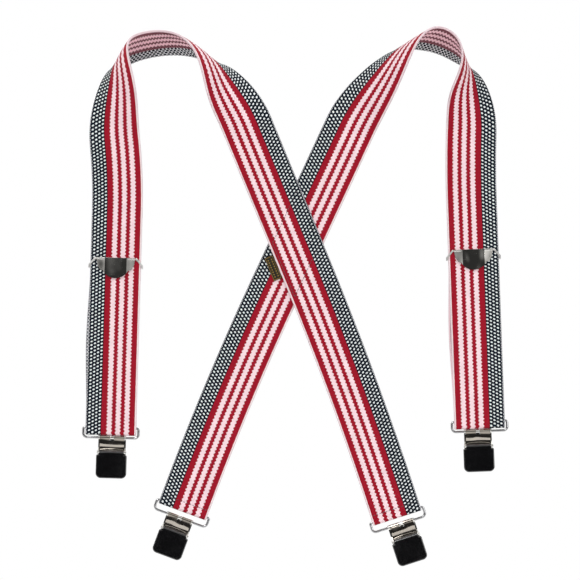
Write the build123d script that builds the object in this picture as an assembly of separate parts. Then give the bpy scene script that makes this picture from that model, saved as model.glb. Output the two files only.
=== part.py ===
from build123d import *
import os
from math import cos, pi, radians, sin

os.makedirs("parts", exist_ok=True)

# All sizes are in millimetres and all angles in degrees.
# X runs to the right, Y away from the viewer, Z up. The origin is the middle of the crossing, on
# the outer face of the front strap. The suspenders hang flat with that face towards -Y.
# "left" and "right" are the viewer's.

# ---- webbing -------------------------------------------------------------------------------
WEB_WIDTH = 50.8
WEB_THICK = 2.0
LAYER_GAP = 0.1
FRONT_LAYER = WEB_THICK / 2
REAR_LAYER = FRONT_LAYER + WEB_THICK + LAYER_GAP

# Each strap is a straight outer run, a short bend in its own plane, a shoulder loop, a straight
# inner run and a long slight bend down to the back clip. Both are given as the left strap, whose
# outer run is on the left, and the right one is mirrored afterwards.
# In the loop the webbing's face swings once round an axis that tips back by "tip" and leans
# sideways by "tip_lean", while the strap turns "turns" of a full turn in its own plane.
# "pace" spreads the length round the swing and "swerve" spreads the turn; both are the weights
# of a short Fourier series.
LEFT_STRAP = {
    "outer_run": 216.6,
    "outer_lean": 1.7,
    "outer_bend": -7.3,
    "outer_bend_length": 70.0,
    "loop_length": 262.8,
    "tip": 58.7,
    "tip_lean": -11.8,
    "turns": 0.5467,
    "pace_cos": (0.277, 0.327),
    "pace_sin": (-0.161, 0.220),
    "swerve_sin": (-1.3, -15.5),
    "inner_run": 149.1,
    "inner_bend": 4.5,
    "inner_bend_length": 267.7,
    "crossing_after_loop": 127.2,
    "layer": FRONT_LAYER,
}
RIGHT_STRAP = {
    "outer_run": 220.0,
    "outer_lean": 2.1,
    "outer_bend": -3.8,
    "outer_bend_length": 70.0,
    "loop_length": 239.5,
    "tip": 58.9,
    "tip_lean": -17.4,
    "turns": 0.5645,
    "pace_cos": (0.506, 0.170),
    "pace_sin": (-0.215, -0.201),
    "swerve_sin": (-11.3, -9.1),
    "inner_run": 177.7,
    "inner_bend": 4.6,
    "inner_bend_length": 237.6,
    "crossing_after_loop": 127.0,
    "layer": REAR_LAYER,
}
LOOP_SECTIONS = 30
STEPS_PER_SECTION = 12
# the webbing bows across its width where the loop turns sideways
LOOP_CUP = 5.0

# ---- folds round the ring wires ------------------------------------------------------------
RING_WIRE = 2.4
FOLD_ROOM = 0.25
FOLD_RADIUS = RING_WIRE / 2 + FOLD_ROOM + WEB_THICK / 2
FRONT_FOLD_DROP = 4.15
FRONT_FOLD_UP = 3.0
TAIL_WRAP = 40.0
TAIL_EASE = 2.5
TAIL_LENGTH = 9.0

# ---- rings ---------------------------------------------------------------------------------
RING_WIDTH = 55.4
RING_DROP = 10.0
RING_CORNER = 4.0
RING_TOP_CORNER = 2.0

# ---- clips ---------------------------------------------------------------------------------
SHEET = 1.0
KNUCKLE_OUTER = 2.35
KNUCKLE_BORE = 1.35
CLIP_HALF = 13.8
JAW_HALF = 12.2
MIDDLE_KNUCKLE_HALF = 1.8
JAW_KNUCKLE_INNER = 2.1
SIDE_KNUCKLE_INNER = 12.4
PLATE_LENGTH = 39.5
JAW_LENGTH = 38.5
PIVOT_FORWARD = 6.6
PIVOT_DOWN = 14.4
PIN_RADIUS = 0.8
PIN_ROOM = 0.06
EAR_RADIUS = 2.0
PIN_HEAD_RADIUS = 1.5
PIN_HEAD_THICK = 0.8
CAM_RADIUS = 3.03
CAM_OFFSET = 1.17
LEVER_HALF = 15.3
LEVER_TOP = 16.8
LEVER_BOTTOM = 40.4
LEVER_DEPTH = 4.2
LEVER_SHEET = 1.2
LEVER_CORNER = 5.0
PAD_HALF = 11.8
PAD_TOP = 22.0
PAD_BOTTOM = 37.5
PAD_TEETH = 6

# how far each clip stands sideways from the middle of its ring
CLIP_SHIFT = {"front_left": 1.5, "front_right": -2.0, "back_left": 0.0, "back_right": 1.8}

# ---- length adjusters ----------------------------------------------------------------------
LEFT_ADJUSTER_HEIGHT = 169.6
RIGHT_ADJUSTER_HEIGHT = 171.7
ADJUSTER_BAR_DOWN = 8.0
RETURN_LAYER = WEB_THICK + LAYER_GAP
RETURN_BOW = 2.2
RETURN_TURN = 25.0
RETURN_EASE = 3.0
RETURN_SECTIONS = 8
LEVER_PIN_FORWARD = 2.45
LEVER_PIN_RADIUS = 0.6
MOON_HALF = 19.6
MOON_SHEET = 0.9
MOON_FLAT_HALF = 11.0
MOON_FLANK_FALL = 1.5
ADJUSTER_TEETH = 12

# ---- stitching and label sizes --------------------------------------------------------------
STITCH_LENGTH = 2.4
STITCH_WIDTH = 0.5
STITCH_THICK = 0.35
STITCH_PITCH = 3.2
DIAMOND_INSET = 4.0
BAR_TACK_HEIGHT = 6.6
LABEL_WIDTH = 9.0
LABEL_LENGTH = 25.0
LABEL_THICK = 0.6
LABEL_ALONG = 14.0

UP = Vector(0, 0, 1)
RIGHT = Vector(1, 0, 0)
AWAY = Vector(0, 1, 0)


def turned(vector, axis, angle):
    """A direction turned about an axis through the origin."""
    return vector.rotate(Axis((0, 0, 0), axis), angle)


def section_plane(point, run, width):
    """Plane across the webbing: its X goes to the plain edge and its Z along the strap."""
    return Plane(origin=point, x_dir=width, z_dir=run)


def flat_plane(point, heading):
    """Section plane of webbing that lies flat, heading measured from +Z towards +X."""
    return section_plane(point, turned(UP, AWAY, heading), turned(RIGHT, AWAY, heading))


def bend_end(point, heading, bend, length):
    """Where a flat strap arrives after bending evenly in its own plane."""
    radius = length / radians(bend)
    centre = point + turned(RIGHT, AWAY, heading) * radius
    return centre - turned(RIGHT, AWAY, heading + bend) * radius


def loop_direction(strap, heading, swing):
    """Run and width directions of the webbing at one angle of its swing round the loop."""
    tip = radians(strap["tip"])
    lean = Vector(sin(radians(strap["tip_lean"])), 0, cos(radians(strap["tip_lean"])))
    axis = AWAY * -cos(tip) + lean * sin(tip)
    first, second = strap["swerve_sin"]
    swerve = first * sin(radians(swing)) + second * sin(2 * radians(swing))
    own = heading - strap["turns"] * swing - swerve
    run = turned(turned(UP, AWAY, own), axis, -swing)
    width = turned(turned(RIGHT, AWAY, own), axis, -swing)
    return run, width


def loop_pace(strap, swing):
    """Length of webbing per degree of swing."""
    angle = radians(swing)
    weight = 1.0
    for order, factor in enumerate(strap["pace_cos"], start=1):
        weight += factor * cos(order * angle)
    for order, factor in enumerate(strap["pace_sin"], start=1):
        weight += factor * sin(order * angle)
    return strap["loop_length"] / 360 * weight


def loop_sections(strap, point, heading):
    """Section planes round the shoulder loop, from the outer run to the inner run."""
    run, width = loop_direction(strap, heading, 0)
    planes = [section_plane(point, run, width)]
    step = 360 / (LOOP_SECTIONS * STEPS_PER_SECTION)
    for section in range(LOOP_SECTIONS):
        for part in range(STEPS_PER_SECTION):
            swing = (section * STEPS_PER_SECTION + part + 0.5) * step
            run, width = loop_direction(strap, heading, swing)
            point = point + run * (loop_pace(strap, swing) * step)
        run, width = loop_direction(strap, heading, (section + 1) * STEPS_PER_SECTION * step)
        planes.append(section_plane(point, run, width))
    return planes


def strap_stations(strap):
    """Key places along one strap, moved so that its crossing is on the Y axis."""
    heading = strap["outer_lean"]
    start = Vector(0, 0, 0)
    run_top = start + turned(UP, AWAY, heading) * strap["outer_run"]
    bend_top = bend_end(run_top, heading, strap["outer_bend"], strap["outer_bend_length"])
    loop_heading = heading + strap["outer_bend"]
    planes = loop_sections(strap, bend_top, loop_heading)
    inner_heading = loop_heading - 360 * strap["turns"]
    inner_start = planes[-1].origin
    down = turned(UP, AWAY, inner_heading)
    inner_end = inner_start + down * strap["inner_run"]
    bar_point = bend_end(inner_end, inner_heading, strap["inner_bend"], strap["inner_bend_length"])
    crossing = inner_start + down * strap["crossing_after_loop"]
    shift = Vector(0, strap["layer"], 0) - crossing
    return {
        "shift": shift,
        "outer_bar": start + shift,
        "outer_heading": heading,
        "run_top": run_top + shift,
        "loop": [section_plane(p.origin + shift, p.z_dir, p.x_dir) for p in planes],
        "inner_start": inner_start + shift,
        "inner_heading": inner_heading,
        "inner_end": inner_end + shift,
        "inner_bar": bar_point + shift,
        "inner_bar_heading": inner_heading + strap["inner_bend"],
    }


def webbing_section(plane):
    """The rectangular cross-section of the webbing on a section plane."""
    return plane * Rectangle(WEB_WIDTH, WEB_THICK)


def cupped_section(plane, cup):
    """Cross-section whose middle is bowed by cup towards the outer face."""
    half = WEB_WIDTH / 2
    thick = WEB_THICK / 2
    if cup < 0.01:
        outer = Line((-half, -thick), (half, -thick))
        reverse = Line((half, thick), (-half, thick))
    else:
        outer = ThreePointArc((-half, -thick), (0, -thick - cup), (half, -thick))
        reverse = ThreePointArc((half, thick), (0, thick - cup), (-half, thick))
    plain_edge = Line((half, -thick), (half, thick))
    dotted_edge = Line((-half, thick), (-half, -thick))
    return plane * make_face([outer, plain_edge, reverse, dotted_edge])


def loop_solid(planes):
    """Loft through the shoulder loop's section planes."""
    wires = []
    for index, plane in enumerate(planes):
        cup = LOOP_CUP * sin(2 * pi * index / LOOP_SECTIONS) ** 2
        wires.append(cupped_section(plane, cup).face().outer_wire())
    return Solid.make_loft(wires)


def straight(plane, length):
    """A straight length of webbing, and the section plane at its far end."""
    piece = extrude(webbing_section(plane), amount=length, dir=plane.z_dir)
    return piece, section_plane(plane.origin + plane.z_dir * length, plane.z_dir, plane.x_dir)


def fold(plane, angle, radius, side):
    """Webbing folded over its own width; side +1 folds towards the plane's Y, -1 the other way."""
    centre = plane.origin + plane.y_dir * (side * radius)
    axis = plane.x_dir * -side
    piece = revolve(webbing_section(plane), axis=Axis(centre, axis), revolution_arc=angle)
    run = turned(plane.z_dir, axis, angle)
    point = centre + turned(plane.origin - centre, axis, angle)
    return piece, section_plane(point, run, plane.x_dir)


def edge_bend(point, heading, bend, length):
    """A flat length of webbing that bends evenly in its own plane."""
    radius = length / radians(bend)
    centre = point + turned(RIGHT, AWAY, heading) * radius
    axis = AWAY if bend > 0 else AWAY * -1
    section = webbing_section(flat_plane(point, heading))
    return revolve(section, axis=Axis(centre, axis), revolution_arc=abs(bend))


def fused(pieces):
    """One solid from pieces that meet face to face."""
    whole = pieces[0]
    for piece in pieces[1:]:
        whole = whole.fuse(piece)
    return whole


def front_fold(plane):
    """Slack running fold of webbing under the front ring's top bar, from the bar's level down."""
    down, plane = straight(plane, FRONT_FOLD_DROP)
    under, plane = fold(plane, 180, FOLD_RADIUS, -1)
    up, plane = straight(plane, FRONT_FOLD_DROP + FRONT_FOLD_UP)
    return [down, under, up]


def sewn_fold(plane):
    """Webbing wrapped round a bar with its tail brought back against the long run."""
    wrap = radians(TAIL_WRAP)
    sideways = FOLD_RADIUS * (1 + cos(wrap)) - RETURN_LAYER - TAIL_EASE * (1 - cos(wrap))
    round_bar, plane = fold(plane, 180 + TAIL_WRAP, FOLD_RADIUS, 1)
    slope, plane = straight(plane, sideways / sin(wrap))
    ease, plane = fold(plane, TAIL_WRAP, TAIL_EASE, -1)
    tail, plane = straight(plane, TAIL_LENGTH)
    return [round_bar, slope, ease, tail]


def strap_solid(strap):
    """One strap from the front ring to the back ring, in its left-hand form."""
    at = strap_stations(strap)
    outer = flat_plane(at["outer_bar"], at["outer_heading"])
    outer_down = section_plane(outer.origin, outer.z_dir * -1, outer.x_dir)
    outer_run, _ = straight(outer, strap["outer_run"])
    inner = flat_plane(at["inner_start"], at["inner_heading"])
    inner_run, _ = straight(inner, strap["inner_run"])
    pieces = front_fold(outer_down)
    pieces.append(outer_run)
    pieces.append(
        edge_bend(
            at["run_top"], at["outer_heading"], strap["outer_bend"], strap["outer_bend_length"]
        )
    )
    pieces.append(loop_solid(at["loop"]))
    pieces.append(inner_run)
    pieces.append(
        edge_bend(
            at["inner_end"], at["inner_heading"], strap["inner_bend"], strap["inner_bend_length"]
        )
    )
    pieces.extend(sewn_fold(flat_plane(at["inner_bar"], at["inner_bar_heading"])))
    return fused(pieces)


def bar_places(strap):
    """Places of the front and back ring bars: local Z runs up the strap and local Y away."""
    at = strap_stations(strap)
    front = at["outer_bar"] + AWAY * FOLD_RADIUS
    back = at["inner_bar"] + AWAY * FOLD_RADIUS
    return (
        Location(front, (0, at["outer_heading"], 0)),
        Location(back, (0, at["inner_bar_heading"] + 180, 0)),
    )


def mirrored_place(place):
    """The same place on the other side, without mirroring what stands there."""
    x, y, z = place.position
    return Location((-x, y, z), (0, -place.orientation.Y, 0))


def return_leg(height, bow):
    """Second pass of a front strap, from the ring fold up to the adjuster bar.

    Local frame of the front bar, with the adjuster bar at the given height.
    """
    start = section_plane(Vector(0, FOLD_RADIUS, FRONT_FOLD_UP + 0.02), UP, RIGHT)
    turn = radians(RETURN_TURN)
    sideways = 2 * FOLD_RADIUS - RETURN_LAYER - 2 * RETURN_EASE * (1 - cos(turn))
    lean_in, plane = fold(start, RETURN_TURN, RETURN_EASE, -1)
    slope, plane = straight(plane, sideways / sin(turn))
    lean_out, plane = fold(plane, RETURN_TURN, RETURN_EASE, 1)
    low = plane.origin
    rise = height - low.Z
    wires = []
    for step in range(RETURN_SECTIONS + 1):
        part = step / RETURN_SECTIONS
        point = Vector(bow * sin(pi * part) ** 2, low.Y, low.Z + rise * part)
        wires.append(webbing_section(section_plane(point, UP, RIGHT)).face().outer_wire())
    pieces = [lean_in, slope, lean_out, Solid.make_loft(wires)]
    pieces.extend(sewn_fold(section_plane(Vector(0, low.Y, height), UP, RIGHT)))
    return fused(pieces)


# ---- stitching and label -------------------------------------------------------------------
def stitch_row(start, end, y_face, outwards):
    """A row of short thread stitches lying on a face that looks along Y."""
    start = Vector(*start)
    end = Vector(*end)
    way = (end - start).normalized()
    length = (end - start).length
    count = max(2, round(length / STITCH_PITCH))
    angle = way.get_signed_angle(RIGHT, AWAY)
    y_middle = y_face + outwards * (STITCH_THICK / 2 + 0.02)
    row = []
    for index in range(count):
        point = start + way * (length * (index + 0.5) / count)
        thread = Box(STITCH_LENGTH, STITCH_THICK, STITCH_WIDTH)
        row.append(Location((point.X, y_middle, point.Z), (0, -angle, 0)) * thread)
    return row


def crossing_stitching():
    """Diamond of stitches that joins the straps, worked through both layers."""
    left = turned(UP, AWAY, strap_stations(LEFT_STRAP)["inner_heading"])
    right_left_hand = turned(UP, AWAY, strap_stations(RIGHT_STRAP)["inner_heading"])
    right = Vector(-right_left_hand.X, 0, right_left_hand.Z)
    inset = WEB_WIDTH / 2 - DIAMOND_INSET
    reach = inset / sin(radians(left.get_angle(right)))
    corners = []
    for along_left, along_right in ((1, 1), (1, -1), (-1, -1), (-1, 1)):
        corner = left * (reach * along_left) + right * (reach * along_right)
        corners.append((corner.X, 0, corner.Z))
    back_face = REAR_LAYER + WEB_THICK / 2
    rows = []
    for index in range(4):
        start, end = corners[index], corners[(index + 1) % 4]
        rows.extend(stitch_row(start, end, 0, -1))
        rows.extend(stitch_row(start, end, back_face, 1))
    return Compound(rows)


def bar_tack():
    """Row of stitches through the fold above a back ring, in the bar's local frame."""
    half = WEB_WIDTH / 2 - 2.5
    start = (-half, 0, BAR_TACK_HEIGHT)
    end = (half, 0, BAR_TACK_HEIGHT)
    front_face = -FOLD_RADIUS - WEB_THICK / 2
    back_face = -FOLD_RADIUS + RETURN_LAYER + WEB_THICK / 2
    rows = stitch_row(start, end, front_face, -1)
    rows.extend(stitch_row(start, end, back_face, 1))
    return Compound(rows)


def adjuster_tack():
    """Two rows of stitches through a return leg's tail, in the adjuster bar's local frame."""
    half = WEB_WIDTH / 2 - 2.5
    back_face = -FOLD_RADIUS + RETURN_LAYER + WEB_THICK / 2
    rows = []
    for down in (BAR_TACK_HEIGHT + 0.6, BAR_TACK_HEIGHT + 4.6):
        rows.extend(stitch_row((-half, 0, -down), (half, 0, -down), back_face, 1))
    return Compound(rows)


def woven_label():
    """Folded woven label that lies on the rear strap beside the front strap's edge."""
    heading = strap_stations(LEFT_STRAP)["inner_heading"]
    plane = flat_plane(Vector(0, 0, 0), heading)
    sideways = WEB_WIDTH / 2 + 0.3 + LABEL_WIDTH / 2
    middle = plane.x_dir * sideways + plane.z_dir * LABEL_ALONG
    tab = Box(LABEL_WIDTH, LABEL_THICK, LABEL_LENGTH)
    tab = fillet(tab.edges().filter_by(Axis.Y), 0.8)
    y_middle = REAR_LAYER - WEB_THICK / 2 - 0.05 - LABEL_THICK / 2
    return Location((middle.X, y_middle, middle.Z), (0, heading + 180, 0)) * tab


# ---- ring ----------------------------------------------------------------------------------
def ring():
    """Rounded rectangular wire ring; its top bar lies on the local X axis."""
    half = RING_WIDTH / 2
    corners = [(-half, 0), (half, 0), (half, -RING_DROP), (-half, -RING_DROP)]
    frame = make_face(Polyline([(x, 0, z) for x, z in corners], close=True))
    upper = frame.vertices().group_by(Axis.Z)[-1]
    frame = fillet(upper, RING_TOP_CORNER)
    lower = frame.vertices().group_by(Axis.Z)[0]
    path = fillet(lower, RING_CORNER).face().outer_wire()
    start = path.position_at(0)
    wire_section = Plane(origin=start, z_dir=path.tangent_at(0)) * Circle(RING_WIRE / 2)
    return sweep(wire_section, path=path)


# ---- clip; its local origin is the middle of the ring's lower bar ---------------------------
def side_profile(points):
    """Face in the YZ plane from (y, z) points."""
    return make_face(Polyline([(0, y, z) for y, z in points], close=True))


def across(face, low, high):
    """A side-view face made solid between two X places."""
    return Pos(low, 0, 0) * extrude(face, amount=high - low, dir=(1, 0, 0))


def tube_across(low, high, outer, bore):
    """A rolled knuckle round the X axis."""
    middle = (low + high) / 2
    shell = Cylinder(outer, high - low) - Cylinder(bore, high - low + 2)
    return Location((middle, 0, 0), (0, 90, 0)) * shell


def cylinder_across(low, high, radius, y, z):
    """A round bar along X."""
    middle = (low + high) / 2
    return Location((middle, y, z), (0, 90, 0)) * Cylinder(radius, high - low)


def box_between(low, high):
    """A block between two opposite corners."""
    size = [b - a for a, b in zip(low, high)]
    middle = [(a + b) / 2 for a, b in zip(low, high)]
    return Pos(*middle) * Box(*size)


def clip_back_plate():
    """Sheet back plate with three small knuckles, two pierced ears and a bottom lip."""
    front = KNUCKLE_OUTER - SHEET
    plate = box_between((-CLIP_HALF, front, -PLATE_LENGTH), (CLIP_HALF, KNUCKLE_OUTER, -2.7))
    bottom = plate.edges().filter_by(Axis.Y).group_by(Axis.Z)[0]
    plate = fillet(bottom, 3.0)
    lip = box_between((-10.5, 0.2, -PLATE_LENGTH), (10.5, front, -PLATE_LENGTH + SHEET))
    plate += lip
    for low, high in (
        (-CLIP_HALF, -SIDE_KNUCKLE_INNER),
        (-MIDDLE_KNUCKLE_HALF, MIDDLE_KNUCKLE_HALF),
        (SIDE_KNUCKLE_INNER, CLIP_HALF),
    ):
        plate += box_between((low, front, -2.8), (high, KNUCKLE_OUTER, 0))
        plate += tube_across(low, high, KNUCKLE_OUTER, KNUCKLE_BORE)
    ear = side_profile(
        [
            (KNUCKLE_OUTER, -9.8),
            (-PIVOT_FORWARD, -PIVOT_DOWN + EAR_RADIUS),
            (-PIVOT_FORWARD, -PIVOT_DOWN - EAR_RADIUS),
            (KNUCKLE_OUTER, -21.0),
        ]
    )
    for low, high in ((-CLIP_HALF, -CLIP_HALF + SHEET), (CLIP_HALF - SHEET, CLIP_HALF)):
        plate += across(ear, low, high)
        plate += cylinder_across(low, high, EAR_RADIUS, -PIVOT_FORWARD, -PIVOT_DOWN)
    bore = cylinder_across(-20, 20, PIN_RADIUS, -PIVOT_FORWARD, -PIVOT_DOWN)
    return plate - bore


def clip_front_jaw():
    """Sprung front jaw plate with two wide knuckles, a bulged neck and an arched rib."""
    outer = -KNUCKLE_OUTER
    inner = outer + SHEET
    skin = make_face(
        [
            ThreePointArc((0, outer, -0.2), (0, outer - 0.9, -4.8), (0, outer, -9.4)),
            Line((0, outer, -9.4), (0, outer, -JAW_LENGTH)),
            Line((0, outer, -JAW_LENGTH), (0, inner, -JAW_LENGTH)),
            Line((0, inner, -JAW_LENGTH), (0, inner, -9.4)),
            ThreePointArc((0, inner, -9.4), (0, inner - 0.9, -4.8), (0, inner, -0.2)),
            Line((0, inner, -0.2), (0, outer, -0.2)),
        ]
    )
    jaw = across(skin, -JAW_HALF, JAW_HALF)
    jaw -= box_between((-JAW_KNUCKLE_INNER, -5, -4.2), (JAW_KNUCKLE_INNER, 5, 5))
    for side in (-1, 1):
        low, high = sorted((side * JAW_KNUCKLE_INNER, side * JAW_HALF))
        jaw += box_between((low, outer, -0.4), (high, inner, 0))
        jaw += tube_across(low, high, KNUCKLE_OUTER, KNUCKLE_BORE)
    rib_path = ThreePointArc(
        (-JAW_HALF + 0.7, outer, -12.1), (0, outer, -11.0), (JAW_HALF - 0.7, outer, -12.1)
    )
    rib_plane = Plane(origin=rib_path @ 0, z_dir=rib_path % 0)
    jaw += sweep(rib_plane * Circle(0.55), path=rib_path)
    return jaw


def clip_lever():
    """Black lever: a dished cover with a round cam, eccentric to its pin, across its top."""
    cam_y = -PIVOT_FORWARD + CAM_OFFSET
    cam_z = -PIVOT_DOWN - CAM_OFFSET
    front = cam_y - CAM_RADIUS
    back = front + LEVER_DEPTH
    outline = [
        (-LEVER_HALF, -LEVER_TOP),
        (LEVER_HALF, -LEVER_TOP),
        (LEVER_HALF, -LEVER_BOTTOM),
        (-LEVER_HALF, -LEVER_BOTTOM),
    ]
    face = make_face(Polyline([(x, front, z) for x, z in outline], close=True))
    cover = extrude(face, amount=LEVER_DEPTH, dir=(0, 1, 0))
    corners = cover.edges().filter_by(Axis.Y).group_by(Axis.Z)
    cover = fillet(corners[0], LEVER_CORNER)
    cover = fillet(cover.edges().filter_by(Axis.Y).group_by(Axis.Z)[-1], 1.6)
    rim = cover.faces().sort_by(Axis.Y)[0].edges()
    cover = fillet(rim, 1.1)
    wall = LEVER_SHEET
    hollow = box_between(
        (-LEVER_HALF + wall, front + wall, -LEVER_BOTTOM + wall),
        (LEVER_HALF - wall, back + 1, -LEVER_TOP + 5),
    )
    hollow_low = hollow.edges().filter_by(Axis.Y).group_by(Axis.Z)[0]
    hollow = fillet(hollow_low, LEVER_CORNER - wall)
    cover -= hollow
    cam = cylinder_across(-JAW_HALF, JAW_HALF, CAM_RADIUS, cam_y, cam_z)
    cam = fillet(cam.edges(), 0.5)
    neck = box_between((-JAW_HALF, front, -18.6), (JAW_HALF, front + wall + 0.3, cam_z))
    lever = cover + cam + neck
    hole = cylinder_across(-20, 20, PIN_RADIUS + PIN_ROOM, -PIVOT_FORWARD, -PIVOT_DOWN)
    return lever - hole


def clip_pivot_pin():
    """Pin through both ears, with a low head outside each."""
    end = CLIP_HALF + PIN_HEAD_THICK
    pin = cylinder_across(-end, end, PIN_RADIUS, -PIVOT_FORWARD, -PIVOT_DOWN)
    for side in (-1, 1):
        low, high = sorted((side * (CLIP_HALF + 0.02), side * end))
        pin += cylinder_across(low, high, PIN_HEAD_RADIUS, -PIVOT_FORWARD, -PIVOT_DOWN)
    return pin


def grip_pad(seat, reach):
    """Ribbed plastic grip pad standing on a plate at Y = seat, its teeth ending at Y = reach."""
    way = 1 if reach > seat else -1
    root = reach - way * 0.5
    body = box_between(
        (-PAD_HALF, min(seat, root), -PAD_BOTTOM), (PAD_HALF, max(seat, root), -PAD_TOP)
    )
    pitch = (PAD_BOTTOM - PAD_TOP) / PAD_TEETH
    for tooth in range(PAD_TEETH):
        low = -PAD_BOTTOM + tooth * pitch
        ridge = side_profile([(root, low), (reach, low + pitch / 2), (root, low + pitch)])
        body += across(ridge, -PAD_HALF, PAD_HALF)
    return body


def clip_back_pad():
    """Grip pad on the back plate."""
    return grip_pad(KNUCKLE_OUTER - SHEET, 0.08)


def clip_front_pad():
    """Grip pad on the front jaw."""
    return grip_pad(-KNUCKLE_OUTER + SHEET, -0.08)


def clip_spring():
    """Leaf spring from the back plate that pushes the front jaw open."""
    seat = KNUCKLE_OUTER - SHEET
    leaf = side_profile(
        [
            (seat, -20.5),
            (seat - 0.3, -20.5),
            (seat - 0.3, -16.0),
            (-1.15, -8.2),
            (-0.85, -8.0),
            (seat, -15.8),
        ]
    )
    return across(leaf, -3.5, 3.5)


# ---- length adjuster; local origin on the front run's middle plane at the lever's top edge --
def adjuster_frame():
    """Frame that wraps the webbing's edges: back bar, two side arms, front wings, pin lugs."""
    bar_y = RETURN_LAYER + FOLD_RADIUS
    bar = cylinder_across(-26.7, 26.7, RING_WIRE / 2, bar_y, -ADJUSTER_BAR_DOWN)
    frame = bar
    for side in (-1, 1):
        low, high = sorted((side * 26.2, side * 27.2))
        arm_face = side_profile(
            [
                (-2.1, -5.9),
                (-2.1, -9.4),
                (bar_y, -ADJUSTER_BAR_DOWN - 1.9),
                (bar_y + 1.6, -ADJUSTER_BAR_DOWN),
                (bar_y, -ADJUSTER_BAR_DOWN + 1.9),
            ]
        )
        frame += across(arm_face, low, high)
        wing = [(20.1, 0.9), (21.2, 0.9), (27.2, -6.2), (27.2, -9.4), (26.0, -9.0), (25.6, -6.6), (20.1, -0.6)]
        wing_face = make_face(Polyline([(side * x, -2.1, z) for x, z in wing], close=True))
        frame += extrude(wing_face, amount=0.9, dir=(0, 1, 0))
        lug_low, lug_high = sorted((side * 20.1, side * 21.1))
        frame += box_between((lug_low, -LEVER_PIN_FORWARD, -1.1), (lug_high, -1.2, 0.9))
        frame += cylinder_across(lug_low, lug_high, 1.1, -LEVER_PIN_FORWARD, 0)
    return frame - cylinder_across(-30, 30, LEVER_PIN_RADIUS, -LEVER_PIN_FORWARD, 0)


def moon_outline(inset):
    """Half-moon outline of the adjuster lever, shrunk by an inset."""
    top = 0.8
    shoulder_z = -12.0 + inset * 0.7
    points = [
        (-MOON_HALF + inset, top),
        (MOON_HALF - inset, top),
        (18.2 - inset, -7.0),
        (15.6 - inset, -11.2 + inset * 0.6),
        (12.6 - inset * 0.5, shoulder_z),
    ]
    lines = [Line(points[index], points[index + 1]) for index in range(4)]
    right_end = points[4]
    left_end = (-right_end[0], shoulder_z)
    lines.append(ThreePointArc(right_end, (0, -19.6 + inset), left_end))
    lines.append(Line(left_end, (-points[3][0], points[3][1])))
    lines.append(Line((-points[3][0], points[3][1]), (-points[2][0], points[2][1])))
    lines.append(Line((-points[2][0], points[2][1]), points[0]))
    return make_face(lines)


def bent_sheet(front, back):
    """Sheet that is flat in the middle and falls back at both flanks, between two depths."""
    face_y = -LEVER_PIN_FORWARD - 1.15
    fall = MOON_FLANK_FALL
    half = MOON_FLAT_HALF
    edge = MOON_HALF
    outline = Polyline(
        [
            (-edge, face_y + fall + front),
            (-half, face_y + front),
            (half, face_y + front),
            (edge, face_y + fall + front),
            (edge, face_y + fall + back),
            (half, face_y + back),
            (-half, face_y + back),
            (-edge, face_y + fall + back),
        ],
        close=True,
    )
    return Pos(0, 0, -22) * extrude(make_face(outline), amount=24)


def moon_prism(outline):
    """A half-moon outline carried through the depth of the lever."""
    return Location((0, -1.2, 0), (90, 0, 0)) * extrude(outline, amount=4)


def adjuster_lever():
    """Half-moon flip lever with bent flanks, a turned rim, a rolled knuckle and gripping teeth."""
    skin = moon_prism(moon_outline(0)) & bent_sheet(0, MOON_SHEET)
    skin -= box_between((-30, -1.6, -1.2), (30, 0, 5))
    rim = moon_prism(moon_outline(0) - moon_outline(0.8)) & bent_sheet(0.3, 1.9)
    rim -= box_between((-30, -4, -3.0), (30, 0, 5))
    bead = moon_prism(moon_outline(1.4) - moon_outline(2.3)) & bent_sheet(-0.35, 0.45)
    bead -= box_between((-30, -6, -1.5), (30, 0, 5))
    lever = skin + rim + bead
    lever += cylinder_across(-19.6, 19.6, 1.15, -LEVER_PIN_FORWARD, 0)
    pitch = 36.0 / ADJUSTER_TEETH
    for tooth in range(ADJUSTER_TEETH):
        x = -18.0 + (tooth + 0.5) * pitch
        point = side_profile([(-2.3, -0.2), (-1.06, -1.1), (-2.7, -1.3)])
        lever += across(point, x - pitch * 0.3, x + pitch * 0.3)
    return lever - cylinder_across(-30, 30, LEVER_PIN_RADIUS + 0.05, -LEVER_PIN_FORWARD, 0)


def adjuster_pin():
    """Wire pin that carries the adjuster lever."""
    return cylinder_across(-21.4, 21.4, LEVER_PIN_RADIUS, -LEVER_PIN_FORWARD, 0)


# ---- assembly ------------------------------------------------------------------------------
def save(name, shape):
    """Write one part as a STEP file."""
    export_step(shape, f"parts/{name}.step")


def save_clip(corner, bar_place):
    """Ring and clip at one strap end."""
    save(f"{corner}_ring", bar_place * ring())
    place = bar_place * Pos(CLIP_SHIFT[corner], 0, -RING_DROP)
    save(f"{corner}_clip_back_plate", place * clip_back_plate())
    save(f"{corner}_clip_front_jaw", place * clip_front_jaw())
    save(f"{corner}_clip_lever", place * clip_lever())
    save(f"{corner}_clip_pivot_pin", place * clip_pivot_pin())
    save(f"{corner}_clip_back_pad", place * clip_back_pad())
    save(f"{corner}_clip_front_pad", place * clip_front_pad())
    save(f"{corner}_clip_spring", place * clip_spring())


def save_adjuster(side, bar_place, height):
    """Adjuster and return leg on one front run."""
    place = bar_place * Pos(0, -FOLD_RADIUS, height)
    save(f"{side}_adjuster_frame", place * adjuster_frame())
    save(f"{side}_adjuster_lever", place * adjuster_lever())
    save(f"{side}_adjuster_pin", place * adjuster_pin())
    bar_height = height - ADJUSTER_BAR_DOWN
    save(f"{side}_return_leg", bar_place * return_leg(bar_height, -RETURN_BOW))
    tack_place = bar_place * Pos(0, RETURN_LAYER, bar_height)
    save(f"{side}_adjuster_stitching", tack_place * adjuster_tack())


left_front, back_right = bar_places(LEFT_STRAP)
right_front, back_left = (mirrored_place(place) for place in bar_places(RIGHT_STRAP))

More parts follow.
